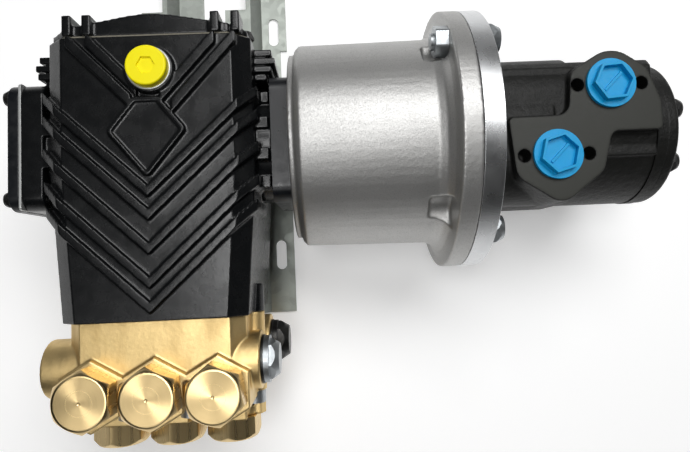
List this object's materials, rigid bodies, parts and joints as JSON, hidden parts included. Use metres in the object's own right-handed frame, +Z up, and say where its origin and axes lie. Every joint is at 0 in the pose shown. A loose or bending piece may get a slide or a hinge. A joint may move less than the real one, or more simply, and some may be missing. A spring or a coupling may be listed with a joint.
{
  "type": "pressure washer pump",
  "caption": "Triplex plunger high-pressure pump with a brass manifold, driven through a bell housing by an orbital hydraulic motor, on two base rails.",
  "frame": {"origin": "centre of the left rail's two anchor slots, on the floor plane", "axes": "+X along the crankshaft from the pump to the motor, +Y from the manifold to the rear cover, +Z up through the oil cap"},
  "size_m": [0.4265, 0.36, 0.172],
  "materials": {
    "case_black": "gloss",
    "cover_black": "satin",
    "shim_grey": "satin",
    "gasket_paper": "matte",
    "cap_yellow": "gloss",
    "brass_cast": "satin",
    "brass_turned": "gloss",
    "zinc": "satin",
    "black_steel": "satin",
    "steel_ground": "gloss",
    "steel_forged": "satin",
    "rod_alloy": "satin",
    "ceramic_white": "gloss",
    "rubber_black": "matte",
    "bell_cast": "satin",
    "ring_turned": "gloss",
    "motor_black": "satin",
    "plug_blue": "gloss",
    "rail_galvanised": "satin"
  },
  "bodies": {
    "housing": {"crankcase": "case_black", "rear_cover": "case_black", "rear_cover_gasket": "gasket_paper", "left_bearing_cover": "cover_black", "left_cover_shim": "shim_grey", "right_bearing_flange": "cover_black", "cover_screws": "black_steel", "bearing_cups": "steel_ground", "crank_oil_seal": "rubber_black", "plunger_oil_seals": "rubber_black", "oil_cap": "cap_yellow", "drain_plug": "zinc", "manifold": "brass_cast", "manifold_bolts": "zinc", "plunger_packings": "rubber_black", "valve_seats": "steel_ground", "valve_cages": "steel_ground", "suction_valve_caps": "brass_turned", "discharge_valve_caps": "brass_turned", "cap_o_rings": "rubber_black", "outlet_port_plug": "zinc", "inlet_port_plug": "black_steel", "port_plug_washers": "black_steel", "bell_housing": "bell_cast", "adapter_ring": "ring_turned", "flange_bolts": "zinc", "flange_nuts": "zinc", "motor_body": "motor_black", "gerotor_ring": "motor_black", "motor_end_cover": "motor_black", "end_cover_bolts": "black_steel", "motor_port_plugs": "plug_blue", "base_rails": "rail_galvanised", "foot_bolts": "zinc", "suction_spring_1": "steel_ground", "discharge_spring_1": "steel_ground", "suction_spring_2": "steel_ground", "discharge_spring_2": "steel_ground", "suction_spring_3": "steel_ground", "discharge_spring_3": "steel_ground"},
    "crank": {"crankshaft": "steel_forged", "bearing_cones": "steel_ground", "shaft_coupling": "steel_ground", "motor_shaft": "steel_ground", "gerotor_rotor": "steel_ground"},
    "rod_1": {"con_rod_1": "rod_alloy"},
    "piston_1": {"crosshead_1": "steel_ground", "plunger_1": "ceramic_white"},
    "suction_valve_1": {"suction_poppet_1": "steel_ground"},
    "discharge_valve_1": {"discharge_poppet_1": "steel_ground"},
    "rod_2": {"con_rod_2": "rod_alloy"},
    "piston_2": {"crosshead_2": "steel_ground", "plunger_2": "ceramic_white"},
    "suction_valve_2": {"suction_poppet_2": "steel_ground"},
    "discharge_valve_2": {"discharge_poppet_2": "steel_ground"},
    "rod_3": {"con_rod_3": "rod_alloy"},
    "piston_3": {"crosshead_3": "steel_ground", "plunger_3": "ceramic_white"},
    "suction_valve_3": {"suction_poppet_3": "steel_ground"},
    "discharge_valve_3": {"discharge_poppet_3": "steel_ground"}
  },
  "joints": [
    {"name": "crank_spin", "type": "hinge", "parent": "housing", "child": "crank", "pos_m": [0.0055, -0.0246, 0.086], "axis": [1, 0, 0], "continuous": true},
    {"name": "rod_1_pivot", "type": "hinge", "parent": "crank", "child": "rod_1", "pos_m": [-0.0315, -0.0296, 0.086], "axis": [1, 0, 0], "continuous": true},
    {"name": "plunger_1_stroke", "type": "slide", "parent": "housing", "child": "piston_1", "axis": [0, -1, 0], "range_m": [-0.01, 0]},
    {"name": "suction_valve_1_lift", "type": "slide", "parent": "housing", "child": "suction_valve_1", "axis": [0, 1, 0], "range_m": [0, 0.0024], "stiffness_N_per_m": 500, "springref_m": -0.004, "deforming": ["suction_spring_1"]},
    {"name": "discharge_valve_1_lift", "type": "slide", "parent": "housing", "child": "discharge_valve_1", "axis": [0, 0, 1], "range_m": [0, 0.0024], "stiffness_N_per_m": 500, "springref_m": -0.004, "deforming": ["discharge_spring_1"]},
    {"name": "rod_2_pivot", "type": "hinge", "parent": "crank", "child": "rod_2", "pos_m": [0.0055, -0.0221, 0.09033], "axis": [1, 0, 0], "continuous": true},
    {"name": "plunger_2_stroke", "type": "slide", "parent": "housing", "child": "piston_2", "axis": [0, -1, 0], "range_m": [-0.0025, 0.0075]},
    {"name": "suction_valve_2_lift", "type": "slide", "parent": "housing", "child": "suction_valve_2", "axis": [0, 1, 0], "range_m": [0, 0.0024], "stiffness_N_per_m": 500, "springref_m": -0.004, "deforming": ["suction_spring_2"]},
    {"name": "discharge_valve_2_lift", "type": "slide", "parent": "housing", "child": "discharge_valve_2", "axis": [0, 0, 1], "range_m": [0, 0.0024], "stiffness_N_per_m": 500, "springref_m": -0.004, "deforming": ["discharge_spring_2"]},
    {"name": "rod_3_pivot", "type": "hinge", "parent": "crank", "child": "rod_3", "pos_m": [0.0425, -0.0221, 0.08167], "axis": [1, 0, 0], "continuous": true},
    {"name": "plunger_3_stroke", "type": "slide", "parent": "housing", "child": "piston_3", "axis": [0, -1, 0], "range_m": [-0.0025, 0.0075]},
    {"name": "suction_valve_3_lift", "type": "slide", "parent": "housing", "child": "suction_valve_3", "axis": [0, 1, 0], "range_m": [0, 0.0024], "stiffness_N_per_m": 500, "springref_m": -0.004, "deforming": ["suction_spring_3"]},
    {"name": "discharge_valve_3_lift", "type": "slide", "parent": "housing", "child": "discharge_valve_3", "axis": [0, 0, 1], "range_m": [0, 0.0024], "stiffness_N_per_m": 500, "springref_m": -0.004, "deforming": ["discharge_spring_3"]}
  ],
  "couplings": [
    {"joint": "rod_1_pivot", "follows": "crank_spin", "ratio": -1},
    {"joint": "rod_2_pivot", "follows": "crank_spin", "ratio": -1},
    {"joint": "rod_3_pivot", "follows": "crank_spin", "ratio": -1}
  ]
}
